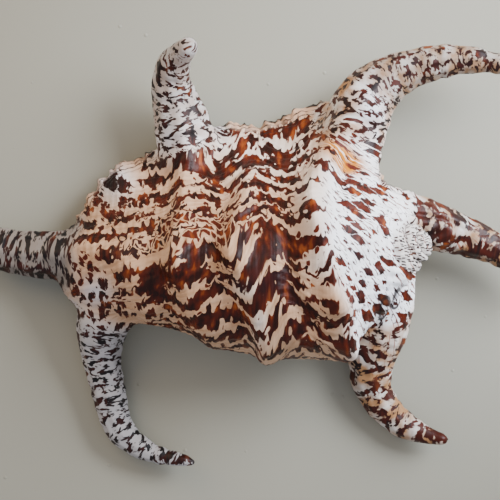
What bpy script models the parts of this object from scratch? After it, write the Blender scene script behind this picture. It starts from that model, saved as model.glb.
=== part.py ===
"""Chiragra spider conch shell, lying on its mouth, as one closed solid.

Metres, +Z up.  X runs along the coiling axis, from the siphon end to the spire.
Y runs from the columella side to the flared lip.
"""
import math

import bmesh
import bpy
import numpy as np
from mathutils import Matrix, Vector

# The brown and cream of the photo, mixed, as linear RGB
SHELL_COLOUR = (0.40, 0.27, 0.19)
SHELL_ROUGHNESS = 0.4

# Skin of the joined solid
VOXEL = 0.0013
BLEND_STEPS = 14
MOUTH_BLEND_STEPS = 5
TRIANGLES = 8600
CURVE_SIDES = 5

# Body whorl and lip, one row for each section from the siphon end to the apex:
# x, (y, z) of the belly, (y, z) of the crest, (y, z) of the lip's rim, z of the mouth side
SECTIONS = [
    (-0.0695, (-0.0150, 0.0110), (-0.0060, 0.0180), (0.0050, 0.0130), 0.0060),
    (-0.0640, (-0.0205, 0.0100), (-0.0060, 0.0240), (0.0120, 0.0110), 0.0035),
    (-0.0595, (-0.0235, 0.0110), (-0.0055, 0.0280), (0.0205, 0.0110), 0.0030),
    (-0.0520, (-0.0250, 0.0125), (-0.0050, 0.0325), (0.0290, 0.0110), 0.0030),
    (-0.0378, (-0.0268, 0.0160), (-0.0040, 0.0405), (0.0362, 0.0105), 0.0020),
    (-0.0237, (-0.0296, 0.0200), (-0.0040, 0.0475), (0.0420, 0.0100), 0.0010),
    (-0.0100, (-0.0350, 0.0240), (-0.0040, 0.0530), (0.0470, 0.0095), -0.0004),
    (0.0033, (-0.0380, 0.0260), (-0.0040, 0.0570), (0.0472, 0.0090), -0.0012),
    (0.0163, (-0.0385, 0.0270), (-0.0030, 0.0585), (0.0515, 0.0100), -0.0012),
    (0.0278, (-0.0385, 0.0280), (-0.0020, 0.0575), (0.0550, 0.0120), 0.0000),
    (0.0350, (-0.0345, 0.0290), (-0.0005, 0.0535), (0.0520, 0.0140), 0.0040),
    (0.0420, (-0.0275, 0.0305), (0.0010, 0.0485), (0.0380, 0.0170), 0.0090),
    (0.0500, (-0.0175, 0.0325), (0.0015, 0.0435), (0.0215, 0.0220), 0.0170),
    (0.0570, (-0.0085, 0.0340), (0.0020, 0.0400), (0.0120, 0.0290), 0.0255),
    (0.0632, (-0.0010, 0.0350), (0.0025, 0.0370), (0.0055, 0.0340), 0.0325),
]
LIP_THICKNESS = 0.0085

# Digits: (x, y, z, radius) from the root inside the lip to the tip
DIGITS = {
    "front_lip_digit": [
        (-0.0190, 0.0200, 0.0160, 0.0100), (-0.0225, 0.0370, 0.0140, 0.0110),
        (-0.0258, 0.0500, 0.0155, 0.0096), (-0.0282, 0.0600, 0.0200, 0.0074),
        (-0.0265, 0.0668, 0.0275, 0.0064), (-0.0212, 0.0705, 0.0370, 0.0050),
    ],
    "rear_lip_digit": [
        (0.0330, 0.0220, 0.0230, 0.0110), (0.0370, 0.0400, 0.0190, 0.0115),
        (0.0410, 0.0525, 0.0180, 0.0112), (0.0480, 0.0602, 0.0180, 0.0092),
        (0.0590, 0.0655, 0.0190, 0.0071), (0.0740, 0.0681, 0.0215, 0.0058),
        (0.0895, 0.0660, 0.0250, 0.0038), (0.1010, 0.0600, 0.0290, 0.0016),
    ],
    "spire_digit": [
        (0.0420, 0.0150, 0.0220, 0.0110), (0.0571, 0.0111, 0.0190, 0.0098),
        (0.0717, 0.0068, 0.0170, 0.0081), (0.0828, 0.0032, 0.0155, 0.0067),
        (0.0905, -0.0004, 0.0150, 0.0057), (0.1005, -0.0075, 0.0150, 0.0042),
        (0.1080, -0.0180, 0.0180, 0.0018),
    ],
    "canal_digit": [
        (0.0505, -0.0030, 0.0170, 0.0100), (0.0490, -0.0245, 0.0130, 0.0100),
        (0.0448, -0.0404, 0.0090, 0.0086), (0.0460, -0.0525, 0.0062, 0.0068),
        (0.0545, -0.0630, 0.0052, 0.0055), (0.0640, -0.0680, 0.0072, 0.0042),
        (0.0712, -0.0698, 0.0098, 0.0026),
    ],
    "siphon_digit": [
        (-0.0440, -0.0120, 0.0160, 0.0110), (-0.0532, -0.0250, 0.0115, 0.0102),
        (-0.0550, -0.0369, 0.0078, 0.0078), (-0.0525, -0.0519, 0.0058, 0.0064),
        (-0.0482, -0.0667, 0.0050, 0.0055), (-0.0370, -0.0750, 0.0062, 0.0042),
        (-0.0208, -0.0782, 0.0098, 0.0022),
    ],
    "front_digit": [
        (-0.0450, -0.0040, 0.0190, 0.0110), (-0.0616, -0.0022, 0.0140, 0.0095),
        (-0.0764, -0.0018, 0.0120, 0.0087), (-0.0912, 0.0004, 0.0115, 0.0078),
        (-0.1022, 0.0060, 0.0150, 0.0056), (-0.1105, 0.0160, 0.0220, 0.0022),
    ],
}

# Swellings on the back: ridges as (points x, y), half width, height
RIDGES = [
    ([(0.0340, -0.0360), (0.0290, -0.0170), (0.0245, -0.0010), (0.0210, 0.0110),
      (0.0230, 0.0230), (0.0300, 0.0380), (0.0390, 0.0520)], 0.0042, 0.0028),
    ([(0.0060, -0.0370), (0.0020, -0.0170), (-0.0040, 0.0000), (-0.0040, 0.0120),
      (0.0000, 0.0250)], 0.0038, 0.0016),
    ([(-0.0130, -0.0330), (-0.0200, -0.0170), (-0.0245, -0.0040), (-0.0235, 0.0120),
      (-0.0230, 0.0280), (-0.0240, 0.0420)], 0.0040, 0.0022),
    ([(-0.0340, -0.0200), (-0.0430, -0.0050), (-0.0560, 0.0000), (-0.0700, -0.0010)], 0.0045, 0.0018),
    ([(0.0330, -0.0020), (0.0420, 0.0090), (0.0520, 0.0110)], 0.0040, 0.0015),
]
# Knobs as (x, y), half length along Y, half width along X, height
KNOBS = [
    ((0.0215, 0.0080), 0.0085, 0.0048, 0.0050),
    ((0.0285, -0.0170), 0.0050, 0.0045, 0.0034),
    ((0.0335, -0.0350), 0.0050, 0.0045, 0.0030),
    ((0.0055, -0.0370), 0.0060, 0.0045, 0.0020),
    ((-0.0060, -0.0030), 0.0050, 0.0045, 0.0030),
    ((-0.0240, -0.0040), 0.0045, 0.0040, 0.0022),
    ((-0.0460, 0.0230), 0.0060, 0.0060, 0.0030),
]

# Spire whorls: the coiling axis at the apex, growth of each whorl and depth of its suture
APEX = Vector((0.0632, 0.0023, 0.0350))
AXIS_FOOT = Vector((-0.0560, -0.0140, 0.0200))
WHORL_GROWTH = 1.55
FIRST_WHORL_RADIUS = 0.0012
SPIRE_RADIUS = 0.0150
SUTURE_DEPTH = 0.0007

# Mouth: (x, y of the slot, half width, top of the hollow) from the rear end to the siphon
MOUTH = [
    (0.0400, 0.0130, 0.0014, 0.0120), (0.0320, 0.0165, 0.0038, 0.0190), (0.0200, 0.0195, 0.0052, 0.0240),
    (0.0060, 0.0200, 0.0056, 0.0250), (-0.0100, 0.0175, 0.0056, 0.0240), (-0.0250, 0.0125, 0.0052, 0.0200),
    (-0.0380, 0.0055, 0.0046, 0.0150), (-0.0480, -0.0060, 0.0034, 0.0110), (-0.0530, -0.0200, 0.0024, 0.0080),
]
MOUTH_LEAN = 0.10
FLOOR_DEPTH = 0.02

# What the tables above are moved by, so that the origin comes under the middle of the shell
FRAME_SHIFT = (0.00148, 0.00248, 0.0)


def smooth_curve(points, samples, closed=False):
    """Catmull-Rom curve through the points, which may be any array whose first axis is the control index."""
    points = np.asarray(points, float)
    count = len(points)
    if closed:
        where = np.linspace(0, count, samples, endpoint=False)
        padded = np.concatenate([points[-1:], points, points[:2]])
    else:
        where = np.linspace(0, count - 1, samples)
        padded = np.concatenate([2 * points[:1] - points[1:2], points, 2 * points[-1:] - points[-2:-1]])
    start = np.minimum(where.astype(int), count - 1 if closed else count - 2)
    t = (where - start).reshape((-1,) + (1,) * (points.ndim - 1))
    a, b, c, d = (padded[start + k] for k in range(4))
    return 0.5 * (2 * b + (c - a) * t + (2 * a - 5 * b + 4 * c - d) * t**2 + (3 * b - a - 3 * c + d) * t**3)


def section_outline(section):
    """The twelve points of one cross-section, from the mouth side round the belly and crest to the rim."""
    x, (belly_y, belly_z), (crest_y, crest_z), (rim_y, rim_z), floor_z = section
    rim = min(LIP_THICKNESS, 0.8 * (rim_z - floor_z))
    reach = rim_y - crest_y
    drop = crest_z - rim_z
    outline = [
        (crest_y, floor_z),
        (0.62 * belly_y + 0.38 * crest_y, floor_z + 0.12 * (belly_z - floor_z)),
        (belly_y + 0.07 * (crest_y - belly_y), 0.5 * (floor_z + belly_z)),
        (belly_y, belly_z),
        (crest_y + 0.74 * (belly_y - crest_y), belly_z + 0.69 * (crest_z - belly_z)),
        (crest_y, crest_z),
        (crest_y + 0.42 * reach, rim_z + 0.74 * drop),
        (crest_y + 0.74 * reach, rim_z + 0.27 * drop),
        (rim_y - 0.08 * reach, rim_z + 0.03 * drop),
        (rim_y, rim_z - 0.5 * rim),
        (rim_y - 0.12 * reach, rim_z - rim),
        (crest_y + 0.5 * reach, 0.5 * (floor_z + rim_z - rim)),
    ]
    return [(x, y, z) for y, z in outline]


def mouth_outline(station):
    """One cross-section of the hollow behind the mouth: a slot that leans towards the columella as it rises."""
    x, y, half, top = station
    lean = MOUTH_LEAN * top
    return [
        (x, y - 1.5 * half, -0.0060),
        (x, y - 0.9 * half, 0.0050),
        (x, y - 1.1 * half - 0.5 * lean, 0.6 * top),
        (x, y - 0.8 * half - lean, 0.92 * top),
        (x, y - 0.4 * half - lean, top),
        (x, y + 0.5 * half - 0.7 * lean, 0.9 * top),
        (x, y + 1.1 * half - 0.3 * lean, 0.55 * top),
        (x, y + 1.1 * half, 0.0050),
        (x, y + 1.8 * half, -0.0060),
    ]


def grid_mesh(name, grid):
    """Closed tube from a grid of points (rows along it, columns around it), with a cap at each end."""
    columns = grid.shape[1]
    bm = bmesh.new()
    verts = [[bm.verts.new(p) for p in row] for row in grid]
    for upper, lower in zip(verts, verts[1:]):
        for k in range(columns):
            n = (k + 1) % columns
            bm.faces.new((upper[k], upper[n], lower[n], lower[k]))
    for ring in (verts[0], verts[-1]):
        bm.faces.new(ring)
    bmesh.ops.recalc_face_normals(bm, faces=bm.faces)
    mesh = bpy.data.meshes.new(name)
    bm.to_mesh(mesh)
    bm.free()
    return mesh


def link(name, data, collection):
    obj = bpy.data.objects.new(name, data)
    collection.objects.link(obj)
    return obj


def settle(obj):
    """The object's mesh as its modifiers leave it, put in place of the mesh and the modifiers."""
    bpy.context.view_layer.update()
    mesh = bpy.data.meshes.new_from_object(obj.evaluated_get(bpy.context.evaluated_depsgraph_get()))
    obj.modifiers.clear()
    obj.data = mesh


def digit_mesh(name, points, collection):
    """A tapering horn: a curve through the digit's points, with the radius of each, made a closed mesh."""
    curve = bpy.data.curves.new(name, "CURVE")
    curve.dimensions = "3D"
    curve.bevel_depth = 1.0
    curve.bevel_resolution = CURVE_SIDES
    curve.use_fill_caps = True
    track = smooth_curve(points, 8 * len(points))
    heading = track[-1, :3] - track[-2, :3]
    heading /= np.linalg.norm(heading)
    end, radius = track[-1, :3], track[-1, 3]
    turns = np.radians([25, 50, 70, 85])
    tip = [[*(end + heading * radius * math.sin(a)), radius * math.cos(a)] for a in turns]
    track = np.concatenate([track, tip])
    spline = curve.splines.new("POLY")
    spline.points.add(len(track) - 1)
    for point, (x, y, z, radius) in zip(spline.points, track):
        point.co = (x, y, z, 1)
        point.radius = radius
    obj = link(name, curve, collection)
    bpy.context.view_layer.update()
    mesh = bpy.data.meshes.new_from_object(obj.evaluated_get(bpy.context.evaluated_depsgraph_get()))
    bpy.data.objects.remove(obj)
    bm = bmesh.new()
    bm.from_mesh(mesh)
    bmesh.ops.remove_doubles(bm, verts=bm.verts, dist=1e-6)
    bm.to_mesh(mesh)
    bm.free()
    return mesh


def material(name, colour, roughness):
    made = bpy.data.materials.new(name)
    made.use_nodes = True
    surface = made.node_tree.nodes["Principled BSDF"]
    surface.inputs["Base Color"].default_value = (*colour, 1)
    surface.inputs["Roughness"].default_value = roughness
    surface.inputs["Metallic"].default_value = 0.0
    return made


def distance_to_line(places, points):
    """Distance in plan from each place to a line through the points."""
    line = smooth_curve(points, 12 * len(points))
    best = np.full(len(places), np.inf)
    for a, b in zip(line, line[1:]):
        along = b - a
        t = np.clip((places - a) @ along / (along @ along), 0, 1)
        best = np.minimum(best, np.linalg.norm(places - a - t[:, None] * along, axis=1))
    return best


def relief(co, normal):
    """How far each point of the back stands out: ridges, knobs and the sutures of the spire."""
    plan = co[:, :2]
    height = np.zeros(len(co))
    for points, width, high in RIDGES:
        height += high * np.exp(-(distance_to_line(plan, points) / width) ** 2)
    for (x, y), half_y, half_x, high in KNOBS:
        height += high * np.exp(-((plan[:, 0] - x) / half_x) ** 2 - ((plan[:, 1] - y) / half_y) ** 2)
    height *= np.clip(0.5 + 1.5 * normal[:, 2], 0, 1)

    apex, foot = np.array(APEX), np.array(AXIS_FOOT)
    axis = (foot - apex) / np.linalg.norm(foot - apex)
    along = (co - apex) @ axis
    across = co - apex - along[:, None] * axis
    radius = np.linalg.norm(across, axis=1)
    angle = np.arctan2(across[:, 1], across[:, 2])
    whorl = np.log(np.maximum(radius, 1e-5) / FIRST_WHORL_RADIUS) / np.log(WHORL_GROWTH) - angle / (2 * np.pi)
    near = np.clip((SPIRE_RADIUS - radius) / 0.002, 0, 1) * (along < SPIRE_RADIUS)
    height += near * SUTURE_DEPTH * (1 - 2 * np.abs(np.cos(np.pi * whorl)) ** 6)
    return height


def main():
    for obj in list(bpy.data.objects):
        bpy.data.objects.remove(obj)
    model = bpy.data.collections.new("spider_conch")
    guides = bpy.data.collections.new("cutters")
    for collection in (model, guides):
        bpy.context.scene.collection.children.link(collection)

    # The lofted body and the horns, in one skin with soft joins
    outlines = np.array([section_outline(s) for s in SECTIONS])
    body = smooth_curve(smooth_curve(outlines, 90).transpose(1, 0, 2), 96, closed=True).transpose(1, 0, 2)
    meshes = [grid_mesh("body_whorl", body)]
    meshes += [digit_mesh(name, points, model) for name, points in DIGITS.items()]
    bm = bmesh.new()
    for mesh in meshes:
        bm.from_mesh(mesh)
    joined = bpy.data.meshes.new("shell")
    bm.to_mesh(joined)
    bm.free()
    shell = link("shell", joined, model)
    skin = shell.modifiers.new("one skin", "REMESH")
    skin.mode = "VOXEL"
    skin.voxel_size = VOXEL
    blend = shell.modifiers.new("soft joins", "SMOOTH")
    blend.factor = 0.5
    blend.iterations = BLEND_STEPS
    settle(shell)

    # The mouth
    outlines = np.array([mouth_outline(s) for s in MOUTH])
    hollow = smooth_curve(smooth_curve(outlines, 60).transpose(1, 0, 2), 48, closed=True).transpose(1, 0, 2)
    mouth = link("mouth_hollow", grid_mesh("mouth_hollow", hollow), guides)
    mouth.hide_render = True
    mouth.display_type = "WIRE"
    cut = shell.modifiers.new("mouth", "BOOLEAN")
    cut.object = mouth
    skin = shell.modifiers.new("one skin", "REMESH")
    skin.mode = "VOXEL"
    skin.voxel_size = VOXEL
    blend = shell.modifiers.new("soft edges", "SMOOTH")
    blend.factor = 0.5
    blend.iterations = MOUTH_BLEND_STEPS
    settle(shell)

    # The ridges, knobs and sutures
    count = len(shell.data.vertices)
    co = np.empty(3 * count)
    normal = np.empty(3 * count)
    shell.data.vertices.foreach_get("co", co)
    shell.data.vertices.foreach_get("normal", normal)
    co, normal = co.reshape(-1, 3), normal.reshape(-1, 3)
    shell.data.vertices.foreach_set("co", (co + relief(co, normal)[:, None] * normal).ravel())
    shell.data.update()

    # Fewer faces, then the flats that it rests on
    triangles = sum(len(face.vertices) - 2 for face in shell.data.polygons)
    thin = shell.modifiers.new("fewer faces", "DECIMATE")
    thin.ratio = TRIANGLES / triangles
    settle(shell)
    bpy.ops.mesh.primitive_cube_add(size=1, location=(0, 0, -0.5 * FLOOR_DEPTH), scale=(0.4, 0.4, FLOOR_DEPTH))
    floor = bpy.context.object
    floor.name = "resting_plane"
    bpy.ops.object.transform_apply(location=True, rotation=False, scale=True)
    for collection in list(floor.users_collection):
        collection.objects.unlink(floor)
    guides.objects.link(floor)
    floor.hide_render = True
    floor.display_type = "WIRE"
    cut = shell.modifiers.new("resting flats", "BOOLEAN")
    cut.object = floor
    settle(shell)

    # The origin under the middle of the shell
    shell.data.transform(Matrix.Translation(FRAME_SHIFT))
    shell.data.shade_smooth()
    shell.data.materials.clear()
    shell.data.materials.append(material("shell", SHELL_COLOUR, SHELL_ROUGHNESS))
    co = np.array([v.co for v in shell.data.vertices])
    print("low", co.min(0), "high", co.max(0), "middle", 0.5 * (co.min(0) + co.max(0)))
    print("triangles", sum(len(p.vertices) - 2 for p in shell.data.polygons))


main()
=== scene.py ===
# Chiragra spider conch shell, seen from above on a pale table.
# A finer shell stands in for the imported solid: the same forms, with the small relief and the markings.
import math
from functools import partial

import bmesh
import bpy
import numpy as np
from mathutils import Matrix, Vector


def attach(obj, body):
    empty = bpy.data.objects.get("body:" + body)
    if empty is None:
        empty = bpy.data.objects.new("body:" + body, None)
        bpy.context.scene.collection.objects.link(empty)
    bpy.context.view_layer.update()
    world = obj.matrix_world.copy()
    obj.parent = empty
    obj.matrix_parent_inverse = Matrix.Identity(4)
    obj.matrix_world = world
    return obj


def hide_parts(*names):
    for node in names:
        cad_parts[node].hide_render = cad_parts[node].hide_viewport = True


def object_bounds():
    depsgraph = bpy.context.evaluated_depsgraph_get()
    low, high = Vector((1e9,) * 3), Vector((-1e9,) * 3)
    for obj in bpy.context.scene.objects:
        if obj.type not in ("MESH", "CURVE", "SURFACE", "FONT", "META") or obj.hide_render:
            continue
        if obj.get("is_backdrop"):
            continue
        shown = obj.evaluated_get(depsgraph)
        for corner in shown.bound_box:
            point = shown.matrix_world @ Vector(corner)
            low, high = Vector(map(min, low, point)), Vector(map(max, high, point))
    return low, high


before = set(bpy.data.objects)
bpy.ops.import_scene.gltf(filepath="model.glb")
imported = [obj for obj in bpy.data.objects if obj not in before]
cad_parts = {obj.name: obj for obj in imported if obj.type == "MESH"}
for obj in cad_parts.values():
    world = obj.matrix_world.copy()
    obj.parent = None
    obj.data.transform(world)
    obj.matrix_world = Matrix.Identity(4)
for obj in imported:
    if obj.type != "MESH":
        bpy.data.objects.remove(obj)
cadLow, cadHigh = (np.array(corner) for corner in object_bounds())
print("packed shell loaded")


def linear(hexColour):  # sRGB hex to linear red, green, blue and alpha
    parts = [int(hexColour[i:i + 2], 16) / 255 for i in (1, 3, 5)]
    return tuple(c / 12.92 if c <= 0.04045 else ((c + 0.055) / 1.055) ** 2.4 for c in parts) + (1.0,)


def addNode(tree, kind, inputs=(), out=0, **settings):
    # one node with its settings and links, and one of its outputs; inputs come by name, by number or in order
    node = tree.nodes.new("ShaderNode" + kind)
    for name, value in settings.items():
        setattr(node, name, value)
    for key, value in inputs.items() if isinstance(inputs, dict) else enumerate(inputs):
        if isinstance(value, bpy.types.NodeSocket):
            tree.links.new(value, node.inputs[key])
        else:
            node.inputs[key].default_value = value
    return None if out is None else node.outputs[out]


# the main forms

shellForm = {  # metres, in the photo's own plan: x along the coiling axis, y up the photo, z up
    "frameShift": (0.00148, 0.00248, 0.0),  # moves the plan so that the origin is under the middle
    "voxel": 0.00081,
    "joinSmoothing": 40,
    "mouthSmoothing": 12,
    "lipThickness": 0.0085,
    # x, (y, z) of the belly, of the crest and of the lip's rim, z of the mouth side
    "sections": [
        (-0.0695, (-0.0150, 0.0110), (-0.0060, 0.0180), (0.0050, 0.0130), 0.0060),
        (-0.0640, (-0.0205, 0.0100), (-0.0060, 0.0240), (0.0120, 0.0110), 0.0035),
        (-0.0595, (-0.0235, 0.0110), (-0.0055, 0.0280), (0.0205, 0.0110), 0.0030),
        (-0.0520, (-0.0250, 0.0125), (-0.0050, 0.0325), (0.0290, 0.0110), 0.0030),
        (-0.0378, (-0.0268, 0.0160), (-0.0040, 0.0405), (0.0362, 0.0105), 0.0020),
        (-0.0237, (-0.0296, 0.0200), (-0.0040, 0.0475), (0.0420, 0.0100), 0.0010),
        (-0.0100, (-0.0350, 0.0240), (-0.0040, 0.0530), (0.0470, 0.0095), -0.0004),
        (0.0033, (-0.0380, 0.0260), (-0.0040, 0.0570), (0.0472, 0.0090), -0.0012),
        (0.0163, (-0.0385, 0.0270), (-0.0030, 0.0585), (0.0515, 0.0100), -0.0012),
        (0.0278, (-0.0385, 0.0280), (-0.0020, 0.0575), (0.0550, 0.0120), 0.0000),
        (0.0350, (-0.0345, 0.0290), (-0.0005, 0.0535), (0.0520, 0.0140), 0.0040),
        (0.0420, (-0.0275, 0.0305), (0.0010, 0.0485), (0.0380, 0.0170), 0.0090),
        (0.0500, (-0.0175, 0.0325), (0.0015, 0.0435), (0.0215, 0.0220), 0.0170),
        (0.0570, (-0.0085, 0.0340), (0.0020, 0.0400), (0.0120, 0.0290), 0.0255),
        (0.0632, (-0.0010, 0.0350), (0.0025, 0.0370), (0.0055, 0.0340), 0.0325),
    ],
    # x, y, z and radius from each digit's root to its tip
    "digits": [
        [(-0.0190, 0.0200, 0.0160, 0.0100), (-0.0225, 0.0370, 0.0140, 0.0110),
         (-0.0258, 0.0500, 0.0155, 0.0096), (-0.0282, 0.0600, 0.0200, 0.0074),
         (-0.0265, 0.0668, 0.0275, 0.0064), (-0.0212, 0.0705, 0.0370, 0.0050)],  # front lip digit
        [(0.0330, 0.0220, 0.0230, 0.0110), (0.0370, 0.0400, 0.0190, 0.0115),
         (0.0410, 0.0525, 0.0180, 0.0112), (0.0480, 0.0602, 0.0180, 0.0092),
         (0.0590, 0.0655, 0.0190, 0.0071), (0.0740, 0.0681, 0.0215, 0.0058),
         (0.0895, 0.0660, 0.0250, 0.0038), (0.1010, 0.0600, 0.0290, 0.0016)],  # rear lip digit
        [(0.0420, 0.0150, 0.0220, 0.0110), (0.0571, 0.0111, 0.0190, 0.0098),
         (0.0717, 0.0068, 0.0170, 0.0081), (0.0828, 0.0032, 0.0155, 0.0067),
         (0.0905, -0.0004, 0.0150, 0.0057), (0.1005, -0.0075, 0.0150, 0.0042),
         (0.1080, -0.0180, 0.0180, 0.0018)],  # spire digit
        [(0.0505, -0.0030, 0.0170, 0.0100), (0.0490, -0.0245, 0.0130, 0.0100),
         (0.0448, -0.0404, 0.0090, 0.0086), (0.0460, -0.0525, 0.0062, 0.0068),
         (0.0545, -0.0630, 0.0052, 0.0055), (0.0640, -0.0680, 0.0072, 0.0042),
         (0.0712, -0.0698, 0.0098, 0.0026)],  # canal digit
        [(-0.0440, -0.0120, 0.0160, 0.0110), (-0.0532, -0.0250, 0.0115, 0.0102),
         (-0.0550, -0.0369, 0.0078, 0.0078), (-0.0525, -0.0519, 0.0058, 0.0064),
         (-0.0482, -0.0667, 0.0050, 0.0055), (-0.0370, -0.0750, 0.0062, 0.0042),
         (-0.0208, -0.0782, 0.0098, 0.0022)],  # siphon digit
        [(-0.0450, -0.0040, 0.0190, 0.0110), (-0.0616, -0.0022, 0.0140, 0.0095),
         (-0.0764, -0.0018, 0.0120, 0.0087), (-0.0912, 0.0004, 0.0115, 0.0078),
         (-0.1022, 0.0060, 0.0150, 0.0056), (-0.1105, 0.0160, 0.0220, 0.0022)],  # front digit
    ],
    # x and y of the slot, half its width and the top of the hollow, from the rear end to the siphon
    "mouth": [
        (0.0400, 0.0130, 0.0014, 0.0120), (0.0320, 0.0165, 0.0038, 0.0190),
        (0.0200, 0.0195, 0.0052, 0.0240), (0.0060, 0.0200, 0.0056, 0.0250),
        (-0.0100, 0.0175, 0.0056, 0.0240), (-0.0250, 0.0125, 0.0052, 0.0200),
        (-0.0380, 0.0055, 0.0046, 0.0150), (-0.0480, -0.0060, 0.0034, 0.0110),
        (-0.0530, -0.0200, 0.0024, 0.0080),
    ],
    "mouthLean": 0.10,
}


def smoothCurve(points, samples, closed=False):
    # a curve through points: each is joined to the next by a cubic that heads the way its neighbours lie
    points = np.asarray(points, float)
    count = len(points)
    if closed:
        where = np.linspace(0, count, samples, endpoint=False)
        padded = np.concatenate([points[-1:], points, points[:2]])
    else:
        where = np.linspace(0, count - 1, samples)
        padded = np.concatenate([2 * points[:1] - points[1:2], points, 2 * points[-1:] - points[-2:-1]])
    start = np.minimum(where.astype(int), count - 1 if closed else count - 2)
    t = (where - start).reshape((-1,) + (1,) * (points.ndim - 1))
    a, b, c, d = (padded[start + k] for k in range(4))
    return 0.5 * (2 * b + (c - a) * t + (2 * a - 5 * b + 4 * c - d) * t**2 + (3 * b - a - 3 * c + d) * t**3)


def loftedSurface(outlines, rows, columns):  # smooth along the outlines' like points, and around each outline
    lengthwise = smoothCurve(outlines, rows).transpose(1, 0, 2)
    return smoothCurve(lengthwise, columns, closed=True).transpose(1, 0, 2)


def unit(vectors):  # each row at length 1
    return vectors / np.linalg.norm(vectors, axis=-1, keepdims=True)


def bodySurface(form, rows, columns):
    # around each section: mouth side, belly, crest and rim as twelve points, joined by a closed smooth curve;
    # along the shell: each of those points follows a smooth curve through the sections
    outlines = []
    for x, (bellyY, bellyZ), (crestY, crestZ), (rimY, rimZ), floorZ in form["sections"]:
        rim = min(form["lipThickness"], 0.8 * (rimZ - floorZ))
        reach, drop = rimY - crestY, crestZ - rimZ
        outlines.append([(x, y, z) for y, z in [
            (crestY, floorZ),
            (0.62 * bellyY + 0.38 * crestY, floorZ + 0.12 * (bellyZ - floorZ)),
            (bellyY + 0.07 * (crestY - bellyY), 0.5 * (floorZ + bellyZ)),
            (bellyY, bellyZ),
            (crestY + 0.74 * (bellyY - crestY), bellyZ + 0.69 * (crestZ - bellyZ)),
            (crestY, crestZ),
            (crestY + 0.42 * reach, rimZ + 0.74 * drop),
            (crestY + 0.74 * reach, rimZ + 0.27 * drop),
            (rimY - 0.08 * reach, rimZ + 0.03 * drop),
            (rimY, rimZ - 0.5 * rim),
            (rimY - 0.12 * reach, rimZ - rim),
            (crestY + 0.5 * reach, 0.5 * (floorZ + rimZ - rim)),
        ]])
    return loftedSurface(outlines, rows, columns)


def mouthSurface(form, rows, columns):
    # a slot carried along the mouth's line: open below, leaning to the columella as it rises, round on top
    outlines = []
    for x, y, half, top in form["mouth"]:
        lean = form["mouthLean"] * top
        outlines.append([
            (x, y - 1.5 * half, -0.0060), (x, y - 0.9 * half, 0.0050),
            (x, y - 1.1 * half - 0.5 * lean, 0.6 * top), (x, y - 0.8 * half - lean, 0.92 * top),
            (x, y - 0.4 * half - lean, top), (x, y + 0.5 * half - 0.7 * lean, 0.9 * top),
            (x, y + 1.1 * half - 0.3 * lean, 0.55 * top), (x, y + 1.1 * half, 0.0050),
            (x, y + 1.8 * half, -0.0060),
        ])
    return loftedSurface(outlines, rows, columns)


def digitSurface(points, columns):
    # place + radius * (side * cos(turn) + lift * sin(turn)), along a smooth curve that ends in a round tip
    track = smoothCurve(points, 10 * len(points))
    heading = unit(track[-1, :3] - track[-2, :3])
    turns = np.radians([20, 40, 60, 75, 86])
    cap = np.concatenate([track[-1, :3] + heading * track[-1, 3] * np.sin(turns)[:, None],
                          track[-1, 3] * np.cos(turns)[:, None]], axis=1)
    track = np.concatenate([track, cap])
    place, radius = track[:, :3], track[:, 3:4, None]
    heading = unit(np.gradient(place, axis=0))
    side = unit(np.cross(heading, (0.0, 0.0, 1.0)))
    lift = np.cross(side, heading)
    turn = np.linspace(0, 2 * math.pi, columns, endpoint=False)[None, :, None]
    return place[:, None] + radius * (side[:, None] * np.cos(turn) + lift[:, None] * np.sin(turn))


def closedMesh(name, grids):  # one mesh from grids of points, each closed around and capped at both ends
    places, faces, first = [], [], 0
    for grid in grids:
        rows, columns = grid.shape[:2]
        index = first + np.arange(rows * columns).reshape(rows, columns)
        turned = np.roll(index, -1, axis=1)
        faces += np.stack([index[:-1], turned[:-1], turned[1:], index[1:]], axis=-1).reshape(-1, 4).tolist()
        faces += [index[0].tolist(), index[-1].tolist()]
        places.append(grid.reshape(-1, 3))
        first += rows * columns
    mesh = bpy.data.meshes.new(name)
    mesh.from_pydata(np.concatenate(places).tolist(), [], faces)
    made = bmesh.new()
    made.from_mesh(mesh)
    bmesh.ops.recalc_face_normals(made, faces=made.faces)
    made.to_mesh(mesh)
    made.free()
    return mesh


def addPiece(name, content):  # a mesh, a light or a camera
    piece = bpy.data.objects.new(name, content)
    bpy.context.scene.collection.objects.link(piece)
    return piece


def addSkin(piece, voxel, smoothing):
    skin = piece.modifiers.new("skin", "REMESH")
    skin.mode = "VOXEL"
    skin.voxel_size = voxel
    blend = piece.modifiers.new("soft joins", "SMOOTH")
    blend.factor = 0.5
    blend.iterations = smoothing


def settle(piece):  # the mesh as the modifiers leave it, in place of the mesh and the modifiers
    bpy.context.view_layer.update()
    mesh = bpy.data.meshes.new_from_object(piece.evaluated_get(bpy.context.evaluated_depsgraph_get()))
    piece.modifiers.clear()
    piece.data = mesh


grids = [bodySurface(shellForm, rows=140, columns=144)]
grids += [digitSurface(points, columns=36) for points in shellForm["digits"]]
shell = addPiece("spiderConch", closedMesh("spiderConch", grids))
addSkin(shell, shellForm["voxel"], shellForm["joinSmoothing"])
settle(shell)
hollow = addPiece("mouthHollow", closedMesh("mouthHollow", [mouthSurface(shellForm, rows=80, columns=64)]))
cut = shell.modifiers.new("mouth", "BOOLEAN")
cut.object = hollow
addSkin(shell, shellForm["voxel"], shellForm["mouthSmoothing"])
settle(shell)
bpy.data.objects.remove(hollow)
print("main forms joined:", len(shell.data.vertices), "points")


# places on the shell

def readVertices(mesh, value):  # "co" or "normal" of every vertex, one in a row
    flat = np.empty(3 * len(mesh.vertices))
    mesh.vertices.foreach_get(value, flat)
    return flat.reshape(-1, 3)


def softStep(value, low, high):  # 0 at low, 1 at high and level at both ends
    t = np.clip((value - low) / (high - low), 0, 1)
    return t * t * (3 - 2 * t)


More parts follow.
